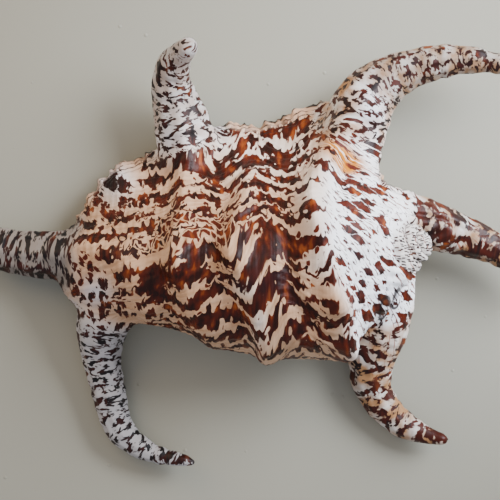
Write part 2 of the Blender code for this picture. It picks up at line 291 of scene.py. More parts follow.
def lengthsAlong(line):  # how far along a line each of its points is
    return np.concatenate([[0], np.cumsum(np.linalg.norm(np.diff(line, axis=0), axis=1))])


def lineDistance(places, line):  # distance to a line, and how far along it the nearest place is
    best = np.full(len(places), np.inf)
    along = np.zeros(len(places))
    start = 0.0
    for a, b in zip(line[:-1], line[1:]):
        step = b - a
        length = np.linalg.norm(step)
        t = np.clip((places - a) @ step / length**2, 0, 1)
        away = np.linalg.norm(places - a - t[:, None] * step, axis=1)
        nearer = away < best
        best[nearer] = away[nearer]
        along[nearer] = start + t[nearer] * length
        start += length
    return best, along


def lump(places, middle, sizes, turn=0.0):  # a soft hill, 1 in the middle, with its half widths along x and y
    dx, dy = places[:, 0] - middle[0], places[:, 1] - middle[1]
    c, s = math.cos(math.radians(turn)), math.sin(math.radians(turn))
    return np.exp(-((c * dx + s * dy) / sizes[0]) ** 2 - ((c * dy - s * dx) / sizes[1]) ** 2)


def latticeNoise(seed, across, along=0.0):  # from 0 to 1: random values at whole numbers, blended smoothly
    places = np.stack(np.broadcast_arrays(across, along), axis=1)
    low = np.floor(places).astype(np.int64)
    t = places - low
    t = t * t * (3 - 2 * t)
    total = np.zeros(len(places))
    for corner in ((0, 0), (1, 0), (0, 1), (1, 1)):
        k = (low + corner) @ np.array([374761393, 668265263]) + seed * 1274126177
        k = (k ^ (k >> 13)) * 1103515245 & 0x7FFFFFFF
        k = (k ^ (k >> 16)) * 69069 & 0x7FFFFFFF
        total += np.prod(np.where(corner, t, 1 - t), axis=1) * k / 0x7FFFFFFF
    return total


# the camera's height in metres, its lens, the scale at one height, and the photo's middle in pixels
photoView = {"eyeHeight": 0.470, "lens": 90.0, "mmPerPixel": 0.36, "scaleHeight": 0.020, "middle": 250.0}


def photoPlace(places):  # where the camera sees each place, in the photo's 500 by 500 pixels
    nearness = (photoView["eyeHeight"] - places[:, 2]) / (photoView["eyeHeight"] - photoView["scaleHeight"])
    offset = places[:, :2] * (1, -1) / (photoView["mmPerPixel"] / 1000 * nearness[:, None])
    return photoView["middle"] + offset


spireForm = {
    "apex": (0.0632, 0.0023, 0.0350), "foot": (-0.0560, -0.0140, 0.0200),
    "radius": 0.0150,  # the early whorls show within this
    "firstRadius": 0.0012, "growth": 1.55,  # each whorl's radius is this many times the last one's
    "sutureDepth": 0.0006, "nodules": 19, "noduleHeight": 0.00028,
}

reliefForm = {
    # ridges of the back as points (x, y), half width and height
    "ridges": [
        ([(0.0340, -0.0360), (0.0290, -0.0170), (0.0245, -0.0010), (0.0210, 0.0110),
          (0.0230, 0.0230), (0.0300, 0.0380), (0.0390, 0.0520)], 0.0042, 0.0028),
        ([(0.0060, -0.0370), (0.0020, -0.0170), (-0.0040, 0.0000), (-0.0040, 0.0120),
          (0.0000, 0.0250)], 0.0038, 0.0016),
        ([(-0.0130, -0.0330), (-0.0200, -0.0170), (-0.0245, -0.0040), (-0.0235, 0.0120),
          (-0.0230, 0.0280), (-0.0240, 0.0420)], 0.0040, 0.0022),
        ([(-0.0340, -0.0200), (-0.0430, -0.0050), (-0.0560, 0.0000), (-0.0700, -0.0010)], 0.0045, 0.0018),
        ([(0.0330, -0.0020), (0.0420, 0.0090), (0.0520, 0.0110)], 0.0040, 0.0015),
    ],
    # knobs as (x, y), half length along y, half width along x and height
    "knobs": [
        ((0.0215, 0.0080), 0.0085, 0.0048, 0.0050), ((0.0285, -0.0170), 0.0050, 0.0045, 0.0034),
        ((0.0335, -0.0350), 0.0050, 0.0045, 0.0030), ((0.0055, -0.0370), 0.0060, 0.0045, 0.0020),
        ((-0.0060, -0.0030), 0.0050, 0.0045, 0.0030), ((-0.0240, -0.0040), 0.0045, 0.0040, 0.0022),
        ((-0.0460, 0.0230), 0.0060, 0.0060, 0.0030),
    ],
    # small nodules on the shoulder behind the ramp, as knobs, with flatter tops
    "nodules": [
        ((0.0466, -0.0203), 0.0040, 0.0019, 0.0014), ((0.0505, 0.0025), 0.0030, 0.0018, 0.0006),
        ((0.0530, -0.0080), 0.0030, 0.0022, 0.0010), ((0.0514, -0.0172), 0.0032, 0.0017, 0.0012),
    ],
    # valleys between the ridges, as ridges with a negative height
    "valleys": [
        ([(-0.0135, 0.0010), (-0.0070, -0.0190), (0.0010, -0.0350)], 0.0034, -0.0022),
        ([(0.0118, 0.0030), (0.0140, -0.0150), (0.0210, -0.0260)], 0.0032, -0.0022),
        ([(-0.0130, 0.0310), (-0.0090, 0.0200), (-0.0120, 0.0100)], 0.0050, -0.0020),
        ([(0.0290, 0.0190), (0.0350, 0.0300), (0.0420, 0.0400)], 0.0050, -0.0018),
        ([(0.0100, 0.0120), (0.0110, 0.0240), (0.0140, 0.0380)], 0.0050, -0.0014),
        ([(-0.0340, 0.0060), (-0.0340, -0.0080), (-0.0290, -0.0220)], 0.0042, -0.0016),
    ],
    "cordSpacing": 2.4, "cordHeight": 0.00012,  # spiral cords, spacing in millimetres
    "wrinkleHeight": 0.00034,  # uneven growth wrinkles
    # layers at the rim: spacing and reach in millimetres, and height
    "layerSpacing": 2.3, "layerReach": 12.0, "layerHeight": 0.00090,
    "frillHeight": 0.0026,  # how far the rim's edge waves in and out
    "digitCords": 9, "digitCordHeight": 0.00022, "digitRingHeight": 0.00042,
    "tipTaper": 0.0012,  # how much slimmer the front lip digit's tip is here
}

places = readVertices(shell.data, "co")
normals = readVertices(shell.data, "normal")
pixels = photoPlace(places)
upward = np.clip(0.5 + 1.5 * normals[:, 2], 0, 1)

# the coiling axis: how far along it, how far from it and at what turn each place lies
apex, foot = np.array(spireForm["apex"]), np.array(spireForm["foot"])
axis = unit(foot - apex)
along = (places - apex) @ axis
outward = places - apex - along[:, None] * axis
axisRadius = np.linalg.norm(outward, axis=1)
axisTurn = np.arctan2(outward[:, 1], outward[:, 2])

# the digits: nearest digit, how far along it, and the turn around it
digitForm = {
    "stride": 200,  # each digit's millimetres start this much further on, so that no two have the same marks
    "nearby": 0.026,  # a place further than this from a digit's middle isn't on it
    "blend": 0.0030,  # how far the digit's middle is evened out along its length
    "leastRadius": 0.0012,
}
digitShare, digitAlong, digitTurn, digitAround, digitKind, tipShare = np.zeros((6, len(places)))
for number, points in enumerate(shellForm["digits"]):
    track = smoothCurve(points, 12 * len(points))
    beyond = track[-1:] + np.linspace(0.2, 1.2, 6)[:, None] * (track[-1:] - track[-6:-5])  # past the tip
    track = np.concatenate([track, beyond])
    track[:, 3] = np.maximum(track[:, 3], digitForm["leastRadius"])
    lengths = lengthsAlong(track[:, :3])
    coarse = np.linalg.norm(places[:, None] - track[None, ::6, :3], axis=2)
    near = np.flatnonzero(coarse.min(axis=1) < digitForm["nearby"])
    away = np.linalg.norm(places[near][:, None] - track[None, :, :3], axis=2)
    closest = away.min(axis=1)
    # the place on the track as an even blend of its nearer points, so that it moves smoothly inside bends
    weight = np.exp((closest[:, None] ** 2 - away**2) / (2 * digitForm["blend"] ** 2))
    weight /= weight.sum(axis=1, keepdims=True)
    reach = weight @ lengths
    centre = np.stack([np.interp(reach, lengths, track[:, k]) for k in range(4)], axis=1)
    rootEnd = 0.9 * lengths[12]
    share = softStep(-closest / centre[:, 3], -1.75, -1.2) * softStep(reach, rootEnd - 0.004, rootEnd + 0.009)
    heading = unit(np.gradient(track[:, :3], axis=0))
    heading = np.stack([np.interp(reach, lengths, heading[:, k]) for k in range(3)], axis=1)
    side = unit(np.cross(heading, (0.0, 0.0, 1.0)))
    lift = np.cross(side, heading)
    offset = places[near] - centre[:, :3]
    turn = np.arctan2(np.sum(offset * side, axis=1), np.sum(offset * lift, axis=1))
    nearer = share > digitShare[near]
    chosen = near[nearer]
    digitShare[chosen] = share[nearer]
    digitAlong[chosen] = 1000 * reach[nearer] + digitForm["stride"] * number
    digitTurn[chosen] = turn[nearer]
    digitAround[chosen] = 1000 * turn[nearer] * closest[nearer]
    digitKind[chosen] = number
    tipShare[chosen] = softStep(reach[nearer] / lengths[-7], 0.62, 1.0)

# the rim of the flared lip, a little below its upper edge: millimetres away from it and along it
rimDrop = 0.3 * shellForm["lipThickness"]
rimmed = shellForm["sections"][:-2]  # all but the last two, which are the spire's
rimLine = [(x, rimY, rimZ - rimDrop) for x, belly, crest, (rimY, rimZ), floorZ in rimmed]
rimAway, rimAlong = (1000 * length for length in lineDistance(places, smoothCurve(rimLine, 120)))

# the mouth side: the floor of the shell and the walls of the hollow
mouthLine = smoothCurve(shellForm["mouth"], 80)
mouthAway, mouthAlong = lineDistance(places[:, :2], mouthLine[:, :2])
mouthHalf = np.interp(mouthAlong, lengthsAlong(mouthLine[:, :2]), mouthLine[:, 2])
inMouth = softStep(-mouthAway / mouthHalf, -2.1, -1.5) * softStep(-places[:, 2], -0.028, -0.025)
inMouth *= 1 - softStep(normals[:, 2], 0.3, 0.6)
underside = softStep(-normals[:, 2], 0.15, 0.55) * (1 - digitShare)
besideMouth = softStep(-1000 * mouthAway, -11.0, -8.0) * (places[:, 2] < 0.010) * (normals[:, 2] < 0.3)
print("places on the shell measured")


# growth lines and spiral lines

grainForm = {
    # the shell's own radius along x: millimetres of growth for each radian around the axis
    "radiusAt": ([-0.072, -0.055, -0.030, 0.030, 0.044, 0.056, 0.0632], [15, 25, 37, 40, 29, 15, 4]),
    # how growth lines fold over ridges and valleys: pixels of the photo along them, and their rise in pixels
    "foldAt": [60, 110, 160, 203, 224, 243, 262, 288, 305, 325, 345, 380, 420, 450],
    "foldRise": [-4, 4, 16, 28, 8, 24, 44, 20, 19, 30, 22, 6, -12, -20],
    "foldMiddle": 240.0, "foldLean": (0.38, 0.10),  # a row of the photo; lean of the folds below and above it
    "knobDrop": 2300.0,  # millimetres that a growth line drops for each metre of a knob's height
    "lipStart": 15.0, "lipRate": 0.85,  # on the flat lip growth goes on outwards, from this far off the axis
    # flow of the ramp's streaks: its rows, the row where it is measured, columns for each row there, and the
    # change of that for each row
    "flowRows": (110, 340), "flowRow": 180.0, "flowSlope": 1.28, "flowBend": 0.00367,
}

# millimetres away from the apex, counted most along x, and millimetres of growth around the axis
crossGrain = 1000 * np.linalg.norm((places - apex) * (1, 0.45, 0.45), axis=1)
growth = np.interp(places[:, 0], *grainForm["radiusAt"]) * axisTurn
growth += grainForm["lipRate"] * np.maximum(1000 * outward[:, 1] - grainForm["lipStart"], 0)
belowMiddle = pixels[:, 1] - grainForm["foldMiddle"]
foldColumn = pixels[:, 0] - np.where(belowMiddle > 0, *grainForm["foldLean"]) * belowMiddle
foldRise = smoothCurve(np.stack([grainForm["foldAt"], grainForm["foldRise"]], axis=1), 200)
growth -= photoView["mmPerPixel"] * np.interp(foldColumn, foldRise[:, 0], foldRise[:, 1])
for place, halfY, halfX, height in reliefForm["knobs"]:
    growth += grainForm["knobDrop"] * height * lump(places, place, (1.7 * halfX, 1.5 * halfY))
fromRow = np.clip(pixels[:, 1], *grainForm["flowRows"]) - grainForm["flowRow"]
flowColumn = pixels[:, 0] - grainForm["flowSlope"] * fromRow + grainForm["flowBend"] * fromRow**2
flowAcross = photoView["mmPerPixel"] * flowColumn
flowAlong = photoView["mmPerPixel"] * pixels[:, 1]


# relief

relief = np.zeros(len(places))
for points, width, height in reliefForm["ridges"] + reliefForm["valleys"]:
    away, _ = lineDistance(places[:, :2], smoothCurve(points, 12 * len(points)))
    relief += height * np.exp(-(away / width) ** 2)
for place, halfY, halfX, height in reliefForm["knobs"]:
    relief += height * lump(places, place, (halfX, halfY))
for place, halfY, halfX, height in reliefForm["nodules"]:
    relief += height * np.exp(-np.log(lump(places, place, (halfX, halfY)) + 1e-30) ** 2)
relief *= upward

whorl = np.log(np.maximum(axisRadius, 1e-5) / spireForm["firstRadius"]) / math.log(spireForm["growth"])
whorl -= axisTurn / (2 * math.pi)
onSpire = np.clip((spireForm["radius"] - axisRadius) / 0.002, 0, 1) * (along < spireForm["radius"])
suture = 1 - 2 * np.abs(np.cos(math.pi * whorl)) ** 6
nodule = np.cos(spireForm["nodules"] * axisTurn) * np.clip(np.sin(math.pi * (whorl % 1)), 0, 1) ** 2
relief += onSpire * (spireForm["sutureDepth"] * suture + spireForm["noduleHeight"] * nodule)

onBody = (1 - digitShare) * (1 - underside) * (1 - inMouth)
cord = np.cos(2 * math.pi * crossGrain / reliefForm["cordSpacing"])
relief += onBody * (1 - onSpire) * reliefForm["cordHeight"] * cord
wrinkle = latticeNoise(3, 0.10 * crossGrain, 0.55 * growth) - 0.5
wrinkle += 0.6 * (latticeNoise(7, 0.22 * crossGrain, 1.1 * growth) - 0.5)
relief += onBody * reliefForm["wrinkleHeight"] * 2 * wrinkle

# layers at the rim: each ends in a small step, and its edge wanders
layerShift = 2.6 * latticeNoise(11, 0.16 * rimAlong) + 1.1 * latticeNoise(12, 0.5 * rimAlong)
layer = (rimAway + layerShift) / reliefForm["layerSpacing"]
layerShare = softStep(-rimAway, -reliefForm["layerReach"], -0.5 * reliefForm["layerReach"])
layerShare *= (1 - 0.7 * digitShare) * (1 - underside)
relief += layerShare * reliefForm["layerHeight"] * (softStep(layer % 1, 0.0, 0.22) - layer % 1)
frill = latticeNoise(21, 0.28 * rimAlong) - 0.55 + 0.7 * (latticeNoise(22, 0.75 * rimAlong) - 0.5)
relief += reliefForm["frillHeight"] * frill * np.exp(-(rimAway / 5.0) ** 2) * (1 - 0.8 * digitShare)

ring = latticeNoise(17, 0.42 * digitAlong, 0.04 * digitAround) - 0.5
digitRelief = reliefForm["digitCordHeight"] * np.cos(reliefForm["digitCords"] * digitTurn) * (1 - tipShare)
digitRelief += 2 * reliefForm["digitRingHeight"] * ring
digitRelief -= reliefForm["tipTaper"] * tipShare * (digitKind == 0)
relief += digitShare * digitRelief

shaped = places + relief[:, None] * normals + np.array(shellForm["frameShift"])
shaped = np.clip(shaped, cadLow, cadHigh)
shell.data.vertices.foreach_set("co", shaped.ravel())
shell.data.update()
shell.data.shade_smooth()
print("relief raised")


# where each kind of marking lies

zoneForm = {
    "darkShare": 0.52,
    # where the bands run wider or thinner than that: place in the photo, half widths and the change
    "darkZones": [
        ((280, 275), (38, 42), 0.10), ((215, 300), (60, 28), 0.06), ((75, 245), (20, 20), 0.16),
        # dark masses
        ((258, 243), (20, 22), 0.30), ((305, 247), (20, 8), 0.34), ((176, 277), (28, 9), 0.34),
        ((140, 290), (14, 7), 0.24), ((200, 259), (12, 13), 0.26), ((281, 290), (14, 18), 0.30),
        ((246, 270), (10, 9), 0.26), ((207, 290), (12, 8), 0.20), ((280, 328), (16, 9), 0.24),
        ((230, 338), (14, 7), 0.22), ((200, 315), (14, 6), 0.20), ((271, 161), (13, 7), 0.34),
        ((267, 187), (18, 6), 0.28), ((247, 165), (6, 13), 0.30), ((226, 163), (8, 6), 0.26),
        ((222, 146), (12, 5), 0.26), ((107, 225), (9, 6), 0.22), ((202, 177), (7, 6), 0.26),
        ((310, 318), (22, 5), 0.18), ((190, 125), (12, 4), 0.24), ((172, 128), (7, 8), 0.22),
        ((316, 121), (9, 6), 0.26), ((352, 238), (9, 9), 0.16), ((352, 262), (6, 7), 0.18),
        ((118, 308), (15, 8), 0.16), ((119, 187), (16, 12), 0.18), ((122, 256), (16, 10), 0.10),
        # pale stretches between them
        ((312, 206), (13, 30), -0.60), ((245, 288), (11, 7), -0.40), ((259, 313), (6, 13), -0.42),
        ((215, 200), (14, 9), -0.22), ((172, 172), (18, 11), -0.26), ((322, 290), (14, 6), -0.34),
        ((257, 144), (14, 5), -0.26), ((300, 273), (14, 4), -0.30), ((258, 176), (18, 4), -0.22),
        ((238, 253), (6, 14), -0.26), ((158, 262), (16, 5), -0.16),
        ((290, 303), (8, 7), -0.16), ((235, 300), (8, 8), -0.20),
        # the upper body as a whole, the small saddle on the main knob, and the root of the rear lip digit
        ((262, 152), (58, 26), 0.15), ((309, 215), (8, 6), 1.60), ((362, 122), (28, 22), -0.18),
    ],
    # the next five are places in the photo and half widths
    # where pale ribbons close around small dark cells
    "marbledZones": [((184, 226), (36, 15)), ((222, 228), (16, 20)), ((150, 243), (22, 10))],
    # where the dark marks are nearly black and the ground is bluish
    "coldZones": [
        ((116, 184), (17, 15)), ((170, 138), (18, 20)), ((95, 292), (16, 14)), ((372, 112), (16, 24)),
        ((385, 300), (14, 22)),
    ],
    # where loose blots take the place of bands
    "blotZones": [
        ((100, 195), (34, 34)), ((165, 140), (34, 20)), ((350, 118), (40, 30)), ((130, 312), (50, 12)),
        ((80, 282), (40, 34)),
    ],
    # where the ground is painted nearly white: partly paler shell, partly painted highlight on the lit slopes
    # and the main knob
    "paleAndHighlightZones": [
        ((265, 150), (60, 30)), ((313, 205), (16, 44)), ((246, 289), (13, 9)), ((259, 320), (8, 22)),
        ((112, 185), (18, 18)), ((175, 140), (26, 20)), ((322, 262), (14, 16)),
    ],
    # where tiny dots take over
    "spireZones": [((416, 246), (23, 28)), ((392, 128), (12, 26)), ((386, 168), (9, 20))],
    "goldZone": ((345, 158), (26, 13), 28),  # place in the photo, half widths and turn in degrees
    "eyeNodules": [((0.0466, -0.0203), (0.0022, 0.0044)), ((0.0514, -0.0172), (0.0019, 0.0036))],  # metres
    # the main ridge, as rows of the photo and the columns where it crosses them; the pale ramp is behind it
    "ridgeRows": [90, 150, 180, 240, 270, 300, 350], "ridgeColumns": [350, 334, 326, 323, 334, 343, 347],
    "rampTop": (115, 160),  # the rows between which the ramp gives way to the root of the rear lip digit
}


def zoneShare(name):  # 1 in the middle of each of these zones, falling off softly
    return np.max([lump(pixels, place, sizes) for place, sizes in zoneForm[name]], axis=0)


darkShare = np.full(len(places), zoneForm["darkShare"])
for place, sizes, change in zoneForm["darkZones"]:
    darkShare += change * lump(pixels, place, sizes)

ridgeColumn = np.interp(pixels[:, 1], zoneForm["ridgeRows"], zoneForm["ridgeColumns"])
pale = softStep(pixels[:, 0], ridgeColumn - 12, ridgeColumn + 12) * softStep(places[:, 2], 0.010, 0.020)
pale *= softStep(pixels[:, 1], *zoneForm["rampTop"])
blotch = softStep(zoneShare("blotZones"), 0.25, 0.65)
marbled = softStep(zoneShare("marbledZones"), 0.25, 0.65)
# paler ground, partly a painted highlight where the light falls on slopes and knobs
paleAndHighlight = zoneShare("paleAndHighlightZones")
cold = 0.7 * zoneShare("coldZones")
spire = softStep(zoneShare("spireZones"), 0.25, 0.55) * upward
gold = softStep(lump(pixels, *zoneForm["goldZone"]), 0.10, 0.75) * upward
eyeRing = np.min([-np.log(lump(places, *nodule) + 1e-30) for nodule in zoneForm["eyeNodules"]], axis=0)

# each digit's look: spots for each millimetre along and around, change of dark share, warmth, blackness,
# painted shade (partly the digit's own darker tone), coldness, the change of dark share at the tip, and how
# far along it the painted shade starts
digitLooks = np.array([
    (0.42, 0.27, 0.03, 0.65, 0.9, 0.36, 0.25, -0.03, 18),  # front lip digit: dark spots on cream-grey
    (0.44, 0.27, 0.03, 1.05, 0.8, 0.56, 0.00, 0.10, 30),  # rear lip digit: many small spots
    (0.27, 0.19, 0.08, 1.05, 0.6, 0.42, 0.00, 0.05, 8),  # spire digit: large red-brown blotches
    (0.34, 0.22, 0.04, 1.10, 0.6, 0.28, 0.00, 0.09, 20),  # canal digit: tan with brown
    (0.50, 0.24, 0.03, 0.10, 1.0, 0.60, 0.65, 0.09, 6),  # siphon digit: blue-grey with black-brown bars
    (0.50, 0.14, 0.05, 0.70, 1.0, 0.88, 0.25, 0.05, 6),  # front digit: dark arcs across it
])[digitKind.astype(int)]
digitLooks[:, 2] += digitLooks[:, 7] * tipShare**6
# painted shade: the digits' ground is darker where less light reaches them, partly their own darker tone; it
# starts past each root
digitLooks[:, 5] *= softStep(digitAlong % digitForm["stride"] - digitLooks[:, 8], 0, 14)
cold = np.maximum(cold, digitShare * digitLooks[:, 6])

shellValues = {  # what the material reads at each point of the shell, three values to an attribute
    "grain": (crossGrain, growth, whorl),
    "flow": (flowAcross, flowAlong, blotch),
    "zones": (digitShare, pale, gold),
    "smallZones": (spire, eyeRing, darkShare),
    "sides": (underside, inMouth, np.exp(-(rimAway / 6.5) ** 2) * (1 - digitShare)),
    # painted shade on the digits, paler ground that is partly painted highlight, and bluish ground
    "tintsAndPaintedLight": (digitLooks[:, 5], paleAndHighlight, cold),
    "digitGrain": (digitLooks[:, 0] * digitAlong, digitLooks[:, 1] * digitAround, 0 * growth),
    "digitLook": (digitLooks[:, 2], digitLooks[:, 3], digitLooks[:, 4]),
    "rimGrain": (rimAway + layerShift, 0.3 * rimAlong, layer),
    "mouthGrain": (1000 * mouthAlong, besideMouth, marbled),
}
for name, columns in shellValues.items():
    values = shell.data.attributes.new(name, "FLOAT_VECTOR", "POINT")
    values.data.foreach_set("vector", np.stack(columns, axis=1).astype(np.float32).ravel())
print("marking zones stored")


# the shell's markings and finish

shellFinish = {
    # the paler cream next to the plain cream is partly a painted highlight
    "cream": "#cfa988", "paleCreamAndHighlight": "#e5d5c5", "tan": "#a97d55", "white": "#f8f9fa", "rimPink": "#cca586",
    "darkBrown": "#240701", "redBrown": "#551904", "orange": "#a5541a", "purpleBrown": "#260f12",
    "black": "#0f0b0c", "spiralBrown": "#834026", "gold": "#b87108", "spireCream": "#d9d3cc",
    # the shade colour is painted shade on the digits' ground, partly their own darker tone
    "digitGrey": "#dcd8d0", "digitTan": "#ab7a48", "shade": "#6e655c", "coldWhite": "#dbe0ea",
    "callus": "#efdcc6", "mouthRose": "#c07f66", "mouthBrown": "#7b4032",
    "roughness": 0.38, "ior": 1.53, "shine": 0.19,
    # millimetres from one growth band, spiral line, fine spiral thread and mouth ridge to the next
    "bandSpacing": 12.5, "lineSpacing": 2.4, "threadSpacing": 0.95, "mouthRidgeSpacing": 2.1,
    "tongues": [(5.4, 5.6, 1.0), (2.6, 3.8, 5.0)],  # width and length in millimetres, and a shift
    # waves: what they are measured on, size across and along in millimetres, shift, detail
    "waves": {
        "slow": ("grain", 20.0, 30.0, 0.0, 1.0),
        "quick": ("grain", 4.6, 11.0, 7.0, 2.0),
        "ragged": ("grain", 0.75, 4.6, 3.0, 2.0),
        "streak": ("grain", 3.0, 11.0, 11.0, 2.0),
        "patch": ("grain", 8.0, 2.8, 17.0, 3.0),
        "grit": ("grain", 2.0, 0.42, 23.0, 3.0),
        "blot": ("flow", 5.0, 7.0, 31.0, 1.0),
        "line": ("flow", 9.0, 14.0, 37.0, 1.0),
        "rampWarp": ("flow", 1.7, 4.2, 59.0, 2.0),
        "goldStreak": ("flow", 1.0, 12.0, 61.0, 2.0),
        "dash": ("flow", 0.85, 2.4, 67.0, 2.0),
        "digitSlow": ("digitGrain", 2.6, 2.6, 43.0, 1.0),
        "digitTone": ("digitGrain", 2.0, 2.0, 47.0, 2.0),
        "rimWave": ("rimGrain", 1.6, 1.1, 53.0, 2.0),
    },
    # cells: what they are measured on, size across and along in millimetres, the wave that bends them and
    # how far across and along, how scattered they are, and what is measured in them
    "cells": {
        "ovals": ("bent", 2.7, 4.4, "quick", (0.0, 0.0, 0), 0.9, {}),
        "marbling": ("bent", 3.3, 5.4, "quick", (3.2, 3.0, 0), 1.0, {"feature": "DISTANCE_TO_EDGE"}),
        "blots": ("object", 3.4, 4.0, "rampWarp", (1.3, 1.3, 0), 0.9, {}),
        "rampSpots": ("flow", 4.2, 4.9, "rampWarp", (0.7, 0.7, 0), 0.8, {"distance": "CHEBYCHEV"}),
        "spireDots": ("grain", 1.7, 1.5, "quick", (0.0, 0.0, 0), 0.9, {"distance": "CHEBYCHEV"}),
    },
}


def startMaterial(name):  # an empty material, and the way to add nodes to it
    made = bpy.data.materials.new(name)
    made.use_nodes = True
    made.node_tree.nodes.clear()
    return made, partial(addNode, made.node_tree)


def makeShellMaterial(finish, attributeNames):
    # calcium carbonate shell, semi-gloss: the eye sees sharp-edged brown bands in growth lines over cream,
    # and fine spiral threads that break the highlights
    made, add = startMaterial("glossyShell")
    colours = {name: linear(value) for name, value in finish.items() if str(value).startswith("#")}
    read, parts, waves, cells, marks = {}, {}, {}, {}, {}
    for name in attributeNames:
        read[name] = add("Attribute", attribute_name=name, out=1)
        parts[name] = add("SeparateXYZ", [read[name]]).node.outputs
    for name, (source, wide, long, shift, detail) in finish["waves"].items():
        place = add("VectorMath", [read[source], (1 / wide, 1 / long, 0), (shift, shift, 0)],
                    operation="MULTIPLY_ADD")
        waves[name] = add("TexNoise", {"Vector": place, "Scale": 1.0, "Detail": detail})
    across, along, whorl = parts["grain"]
    flowAcross, _, blotch = parts["flow"]
    digit, ramp, gold = parts["zones"]
    spire, eyeRing, dark = parts["smallZones"]
    under, mouth, rim = parts["sides"]
    digitShade, paleAndHighlight, cold = parts["tintsAndPaintedLight"]
    digitDark, digitWarm, digitBlack = parts["digitLook"]
    ridge, beside, marbled = parts["mouthGrain"]

    # growth lines, bent by slow and quick waves
    bent = add("Math", [waves["slow"], 9.0, along], operation="MULTIPLY_ADD")
    bent = add("Math", [waves["quick"], 12.0, bent], operation="MULTIPLY_ADD")
    read["bent"] = add("CombineXYZ", [across, bent])
    # tongues: rows of scallops in the growth lines, round below and pointed above
    for width, length, shift in finish["tongues"]:
        place = add("VectorMath", [read["grain"], (0.12, 0.06, 0), (shift, shift, 0)],
                    operation="MULTIPLY_ADD")
        sway = add("TexNoise", {"Vector": place, "Scale": 1.0, "Detail": 1.0})
        cell = add("Math", [across, 1 / width], operation="MULTIPLY")
        cell = add("Math", [sway, 2.6, cell], operation="MULTIPLY_ADD")
        part = add("Math", [cell], operation="FRACT")
        part = add("Math", [part, 2.0, -1.0], operation="MULTIPLY_ADD")
        part = add("Math", [part, part], operation="MULTIPLY")
        place = add("VectorMath", [read["grain"], (0.9 / width, 0.14, 0), (shift + 20, 0, 0)],
                    operation="MULTIPLY_ADD")
        size = add("TexNoise", {"Vector": place, "Scale": 1.0, "Detail": 1.0})
        size = add("MapRange", [size, 0.36, 0.62, 0.0, -length])
        bent = add("Math", [part, size, bent], operation="MULTIPLY_ADD")
    bent = add("Math", [waves["ragged"], 3.0, bent], operation="MULTIPLY_ADD")

    # bands: an even wave of growth and an uneven one, cut where the share of dark asks
    wave = add("Math", [bent, 2 * math.pi / finish["bandSpacing"]], operation="MULTIPLY")
    wave = add("Math", [wave], operation="SINE")
    place = add("CombineXYZ", [across, bent])
    place = add("VectorMath", [place, (0.10, 0.14, 0), (2, 5, 0)], operation="MULTIPLY_ADD")
    uneven = add("TexNoise", {"Vector": place, "Scale": 1.0, "Detail": 1.0})
    uneven = add("Math", [uneven, 4.8, -2.4], operation="MULTIPLY_ADD")
    band = add("Math", [wave, 0.70, uneven], operation="MULTIPLY_ADD")
    level = add("MapRange", [dark, 0.0, 1.0, 1.35, -1.35])
    above = add("Math", [band, level], operation="SUBTRACT")
    bands = add("MapRange", [above, -0.06, 0.06])

    # marks in cells, each as large as its cell's chance and a second value make it, with a sharp edge
    read["object"] = add("VectorMath", {0: add("TexCoord", out=3), "Scale": 1000.0}, operation="SCALE")
    for name, (source, wide, long, wave, bend, scatter, kind) in finish["cells"].items():
        place = add("VectorMath", [read[source], (1 / wide, 1 / long, 0)], operation="MULTIPLY")
        place = add("VectorMath", [waves[wave].node.outputs["Color"], bend, place], operation="MULTIPLY_ADD")
        cells[name] = add("TexVoronoi", {"Vector": place, "Scale": 1.0, "Randomness": scatter},
                          voronoi_dimensions="2D", **kind)
    for name, chanceToReach, value, rate, edge in (
        ("ovals", (0.80, 1.0, 0.0, 0.40), waves["ragged"], 0.12, (0.05, 0.09)),
        ("blots", (0.0, 0.90, -0.26, 0.12), dark, 0.84, (0.0, 0.05)),
        ("rampSpots", (0.15, 0.90, -0.37, 0.02), dark, 0.84, (0.0, 0.04)),
    ):
        chance = add("SeparateXYZ", [cells[name].node.outputs["Color"]])
        reach = add("MapRange", [chance, *chanceToReach])
        reach = add("Math", [value, rate, reach], operation="MULTIPLY_ADD")
        reach = add("Math", [reach, cells[name]], operation="SUBTRACT")
        marks[name] = add("MapRange", [reach, *edge])

    # ovals, cream in the bands and brown between them, longer along the spiral than across it
    bands = add("Math", [bands, marks["ovals"]], operation="SUBTRACT")
    bands = add("Math", [bands], operation="ABSOLUTE")

    # marbling: dark cells inside pale ribbons
    marbling = add("Math", [waves["ragged"], 0.16, cells["marbling"]], operation="MULTIPLY_ADD")
    marbling = add("MapRange", [marbling, 0.18, 0.22])

    # the ramp: squarish spots in rows with dashes between them, and thin pinkish lines along the spiral
    dashes = add("MapRange", [waves["dash"], 0.585, 0.615])
    spots = add("Math", [marks["rampSpots"], dashes], operation="MAXIMUM")
    turn = add("Math", [flowAcross, math.pi / finish["lineSpacing"]], operation="MULTIPLY")
    turn = add("Math", [waves["line"], 9.0, turn], operation="MULTIPLY_ADD")
    lines = add("Math", [turn], operation="SINE")
    lines = add("Math", [lines], operation="ABSOLUTE")
    width = add("MapRange", [waves["blot"], 0.44, 0.72, -0.1, 0.42])
    lines = add("Math", [width, lines], operation="SUBTRACT")
    lines = add("MapRange", [lines, 0.0, 0.06, 0.0, 0.8])

    # the spire: rows of tiny dots, and a dark line in each suture
    dots = add("MapRange", [cells["spireDots"], 0.39, 0.30])
    chance = add("SeparateXYZ", [cells["spireDots"].node.outputs["Color"]])
    chance = add("MapRange", [chance, 0.22, 0.26])
    dots = add("Math", [dots, chance], operation="MULTIPLY")
    suture = add("Math", [whorl, math.pi], operation="MULTIPLY")
    suture = add("Math", [suture], operation="SINE")
    suture = add("Math", [suture], operation="ABSOLUTE")
    suture = add("MapRange", [suture, 0.16, 0.05, 0.0, 0.75])
    dots = add("Math", [dots, suture], operation="MAXIMUM")

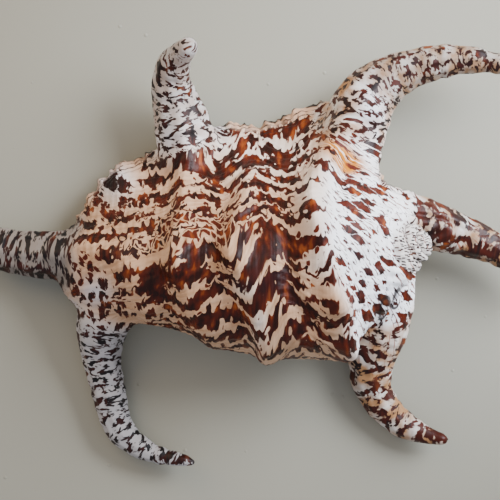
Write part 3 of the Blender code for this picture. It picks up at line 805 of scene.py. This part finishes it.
    # digits: bars and blotches across them, drawn out around each one
    place = add("VectorMath", [waves["digitSlow"].node.outputs["Color"], (1.7, 1.7, 0), read["digitGrain"]],
                operation="MULTIPLY_ADD")
    bars = add("TexNoise", {"Vector": place, "Scale": 1.0, "Detail": 2.0, "Roughness": 0.6})
    bars = add("Math", [bars, digitDark], operation="ADD")
    bars = add("MapRange", [bars, 0.522, 0.568])

    # the two eye-like nodules: a dark ring, cream inside
    ring = add("Math", [eyeRing, 1.0], operation="SUBTRACT")
    ring = add("Math", [ring], operation="ABSOLUTE")
    ring = add("MapRange", [ring, 0.42, 0.20, 0.0, 0.9])

    # which marking shows where: each takes over past a ragged edge of its zone
    mask = bands
    for wave, rate, zone, start, marking in (
        ("quick", 1.0, marbled, 0.98, marbling), ("quick", 1.0, blotch, 0.98, marks["blots"]),
        ("quick", 1.2, ramp, 1.08, spots), ("rampWarp", 1.0, spire, 0.98, dots),
        ("rampWarp", 1.0, digit, 0.98, bars),
    ):
        edge = add("Math", [waves[wave], rate, zone], operation="MULTIPLY_ADD")
        edge = add("MapRange", [edge, start, start + 0.04])
        mask = add("Mix", {0: edge, 2: mask, 3: marking}, data_type="FLOAT")
    mask = add("Math", [mask, ring], operation="MAXIMUM")
    shown = add("Math", [1.0, under], operation="SUBTRACT")
    shown = add("Math", [shown, mouth], operation="SUBTRACT", use_clamp=True)
    faded = add("MapRange", [rim, 0.45, 0.80, 1.0, 0.25])
    for share in (shown, faded):
        mask = add("Math", [mask, share], operation="MULTIPLY")
    for share in (ramp, shown):
        lines = add("Math", [lines, share], operation="MULTIPLY")

    # thin dark lines where one layer of the rim ends on the next
    rimLines = add("Math", [parts["rimGrain"][2]], operation="FRACT")
    rimLines = add("MapRange", [rimLines, 0.46, 0.28])
    broken = add("MapRange", [waves["rimWave"], 0.38, 0.46])
    rimShare = add("MapRange", [rim, 0.10, 0.30, 0.0, 0.97])
    for share in (broken, rimShare, shown):
        rimLines = add("Math", [rimLines, share], operation="MULTIPLY", use_clamp=True)

    # colour of the dark marks: deep brown, with red-brown and orange streaks that run across the bands
    reddish = add("MapRange", [waves["streak"], 0.42, 0.62])
    bandEdge = add("MapRange", [above, 0.30, 0.05, 0.0, 0.9])
    reddish = add("Math", [reddish, bandEdge], operation="MAXIMUM")
    orange = add("MapRange", [waves["streak"], 0.59, 0.72, 0.0, 0.65])
    purple = add("MapRange", [waves["slow"], 0.56, 0.66, 0.0, 0.6])
    black = add("MapRange", [waves["digitTone"], 0.36, 0.58, 0.45, 1.0])
    for share in (digitBlack, digit):
        black = add("Math", [black, share], operation="MULTIPLY")
    spireBlack = add("Math", [spire, 0.7], operation="MULTIPLY")
    for share in (cold, spireBlack, ring):
        black = add("Math", [black, share], operation="MAXIMUM", use_clamp=True)
    mark = colours["darkBrown"]
    for share, name in ((reddish, "redBrown"), (orange, "orange"), (purple, "purpleBrown"), (black, "black")):
        mark = add("Mix", {0: share, 6: mark, 7: colours[name]}, out=2, data_type="RGBA")
    colours["mark"] = mark

    # the mouth: rose, with pale ridges across it on a browner stretch beside the slot
    stripes = add("Math", [ridge, 2 * math.pi / finish["mouthRidgeSpacing"]], operation="MULTIPLY")
    stripes = add("Math", [stripes], operation="SINE")
    stripes = add("MapRange", [stripes, -0.2, 0.3])
    beside = add("Math", [beside, mouth], operation="MAXIMUM")
    lip = add("Mix", {0: stripes, 6: colours["mouthBrown"], 7: colours["callus"]}, out=2, data_type="RGBA")
    colours["lip"] = add("Mix", {0: mouth, 6: lip, 7: colours["mouthRose"]}, out=2, data_type="RGBA")

    # ground: cream with tan streaks, paler cream that is partly painted highlight, white on the ramp, grey to
    # tan on the digits with painted shade; the marks lie over it
    tan = add("MapRange", [waves["patch"], 0.40, 0.70, 0.0, 0.75])
    warm = add("MapRange", [waves["digitTone"], 0.35, 0.62])
    warm = add("Math", [warm, digitWarm], operation="MULTIPLY")
    colours["digit"] = add("Mix", {0: warm, 6: colours["digitGrey"], 7: colours["digitTan"]}, out=2,
                           data_type="RGBA")
    # painted shade over the digits' ground, partly their own darker tone
    shaded = add("Math", [digitShade, digit], operation="MULTIPLY")
    streaks = add("MapRange", [waves["goldStreak"], 0.30, 0.44])
    gold = add("Math", [gold, streaks], operation="MULTIPLY")
    colour = colours["cream"]
    for share, name in (
        (tan, "tan"), (paleAndHighlight, "paleCreamAndHighlight"), (ramp, "white"), (spire, "spireCream"), (rim, "rimPink"),
        (digit, "digit"), (cold, "coldWhite"), (shaded, "shade"), (gold, "gold"), (lines, "spiralBrown"),
        (under, "callus"), (beside, "lip"), (mask, "mark"), (rimLines, "black"),
    ):
        colour = add("Mix", {0: share, 6: colour, 7: colours[name]}, out=2, data_type="RGBA")

    # fine spiral threads and growth lines break up the shine
    thread = add("Math", [across, 2 * math.pi / finish["threadSpacing"]], operation="MULTIPLY")
    thread = add("Math", [thread], operation="SINE")
    bare = add("Math", [1.0, digit], operation="SUBTRACT")
    thread = add("Math", [thread, bare], operation="MULTIPLY")
    dotDepth = add("Math", [spire, -1.6], operation="MULTIPLY")
    height = waves["grit"]
    for form, rate in ((thread, 0.10), (stripes, beside), (rimLines, -2.0), (dots, dotDepth)):
        height = add("Math", [form, rate, height], operation="MULTIPLY_ADD")
    bump = add("Bump", {"Strength": 0.45, "Distance": 0.00030, "Height": height})
    rough = add("MapRange", [waves["grit"], 0.3, 0.7, finish["roughness"] - 0.06, finish["roughness"] + 0.10])
    shader = add("BsdfPrincipled", {"Base Color": colour, "Roughness": rough, "Normal": bump,
                                    "IOR": finish["ior"], "Specular IOR Level": finish["shine"]})
    add("OutputMaterial", {"Surface": shader}, out=None)
    return made


shell.data.materials.clear()
shell.data.materials.append(makeShellMaterial(shellFinish, shellValues))
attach(shell, "root")
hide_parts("shell")
print("shell finished")


# table, light and camera

tableForm = {
    "size": 1.6, "colour": "#969587", "mottle": "#8e8b7c", "roughness": 0.6,
    "specks": 90.0,  # small bumps in the paint for each metre
}


def makeBoardMaterial(form):  # matt painted board: plain to the eye, with a faint mottle and a few specks
    made, add = startMaterial("paintedBoard")
    place = add("TexCoord", out=3)
    mottle = add("TexNoise", {"Vector": place, "Scale": 9.0, "Detail": 3.0})
    mottle = add("MapRange", [mottle, 0.3, 0.7, 0.0, 0.25])
    board = add("Mix", {0: mottle, 6: linear(form["colour"]), 7: linear(form["mottle"])}, out=2,
                data_type="RGBA")
    specks = add("TexVoronoi", {"Vector": place, "Scale": form["specks"]})
    specks = add("MapRange", [specks, 0.03, 0.07, 1.0, 0.0])
    bump = add("Bump", {"Strength": 0.5, "Distance": 0.0004, "Height": specks})
    shader = add("BsdfPrincipled", {"Base Color": board, "Roughness": form["roughness"], "Normal": bump})
    add("OutputMaterial", {"Surface": shader}, out=None)
    return made


tableMesh = bpy.data.meshes.new("table")
half = tableForm["size"] / 2
corners = [(-half, -half, 0), (half, -half, 0), (half, half, 0), (-half, half, 0)]
tableMesh.from_pydata(corners, [], [(0, 1, 2, 3)])
table = addPiece("table", tableMesh)
table.data.materials.append(makeBoardMaterial(tableForm))
table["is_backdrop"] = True
print("table made")

lightForm = {  # each soft light: place, aim, size, power in watts, spread in degrees and colour
    "window": ((0.26, 0.17, 0.17), (0.085, 0.065, 0.0), 0.32, 0.93, 66, "#f2f6ff"),
    "lamp": ((-0.36, 0.36, 0.40), (0.0, 0.0, 0.0), 0.50, 1.9, 180, "#ffdba8"),
}
roomForm = {"colour": "#dedfea", "strength": 0.84}  # the light that comes from all sides

for name, (place, target, size, power, spread, colour) in lightForm.items():
    lamp = bpy.data.lights.new(name, "AREA")
    lamp.shape = "DISK"
    lamp.size = size
    lamp.energy = power
    lamp.spread = math.radians(spread)
    lamp.color = linear(colour)[:3]
    holder = addPiece(name, lamp)
    holder.location = place
    holder.visible_camera = False
    aim = unit(np.array(target) - place)
    holder.rotation_euler = (math.acos(-aim[2]), 0, math.atan2(aim[1], aim[0]) - math.pi / 2)
world = bpy.data.worlds.new("room")
bpy.context.scene.world = world
world.use_nodes = True
background = world.node_tree.nodes["Background"].inputs
background["Color"].default_value = linear(roomForm["colour"])
background["Strength"].default_value = roomForm["strength"]

eye = bpy.data.cameras.new("photoCamera")
eye.lens = photoView["lens"]
eye.sensor_width = 36.0
eye.clip_start = 0.01
camera = addPiece("photoCamera", eye)
camera.location = (shellForm["frameShift"][0], shellForm["frameShift"][1], photoView["eyeHeight"])
bpy.context.scene.camera = camera
print("light and camera set")

print("scene ready:", sum(len(face.vertices) - 2 for face in shell.data.polygons), "triangles in the shell")
